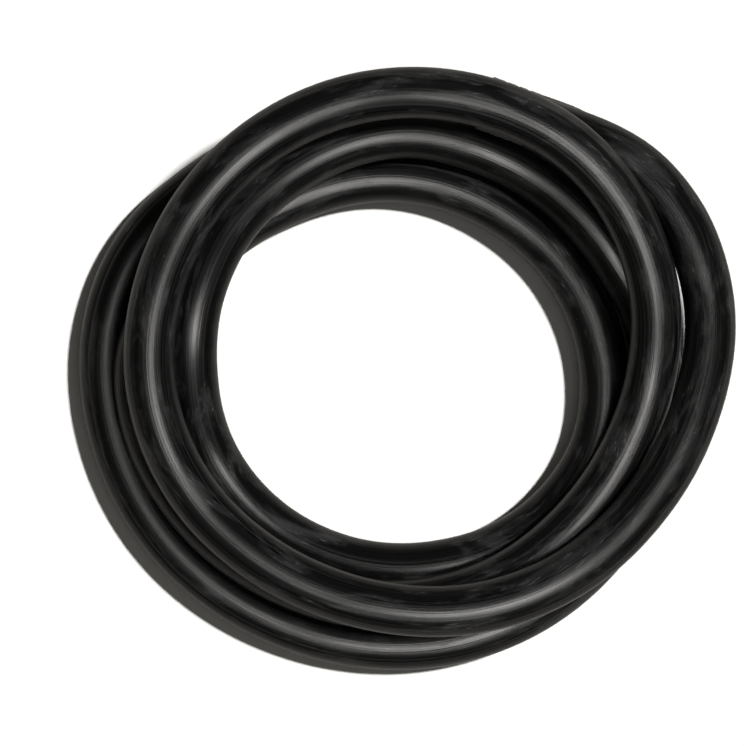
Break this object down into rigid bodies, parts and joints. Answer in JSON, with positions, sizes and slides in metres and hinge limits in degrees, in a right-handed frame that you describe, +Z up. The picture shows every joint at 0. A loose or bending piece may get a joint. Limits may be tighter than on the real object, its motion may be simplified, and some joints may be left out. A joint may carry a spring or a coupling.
{
  "type": "soaker hose",
  "caption": "Loosely coiled thick black rubber soaker hose with a swivel inlet nut at one end and a screw plug at the closed end.",
  "frame": {"origin": "centre of the coil's box, on the surface that it lies on", "axes": "+Z up through the middle of the coil; +X and +Y lie in the surface, with the highest turn towards +Y and the inlet nut towards +X +Y"},
  "size_m": [0.3065, 0.2828, 0.0811],
  "materials": {
    "hose_rubber": "satin",
    "fitting_metal": "satin",
    "end_metal": "satin",
    "seal_rubber": "matte",
    "gasket_rubber": "matte",
    "restrictor_plastic": "matte",
    "screen_steel": "satin",
    "plug_plastic": "matte"
  },
  "bodies": {
    "coiled_hose": {"hose": "hose_rubber", "inlet_ferrule": "fitting_metal", "inlet_tail": "fitting_metal", "inlet_washer": "seal_rubber", "flow_restrictor": "restrictor_plastic", "filter_screen": "screen_steel", "end_ferrule": "end_metal", "end_tail": "end_metal"},
    "swivel_nut": {"inlet_nut": "fitting_metal"},
    "plug_seal": {"end_gasket": "gasket_rubber"},
    "plug": {"end_plug": "plug_plastic"}
  },
  "joints": [
    {"name": "nut_swivel", "type": "hinge", "parent": "coiled_hose", "child": "swivel_nut", "pos_m": [0.1167, 0.0839, 0.016], "axis": [0.682, -0.7314, 0], "continuous": true},
    {"name": "plug_travel", "type": "slide", "parent": "coiled_hose", "child": "plug_seal", "axis": [-0.9374, 0.3412, 0.0698], "range_m": [0, 0.006]},
    {"name": "plug_turn", "type": "hinge", "parent": "plug_seal", "child": "plug", "pos_m": [0.0397, 0.1259, 0.043], "axis": [-0.9374, 0.3412, 0.0698], "range_deg": [0, 1440]}
  ],
  "couplings": [
    {"joint": "plug_turn", "follows": "plug_travel", "rad_per_m": 4188.8}
  ]
}
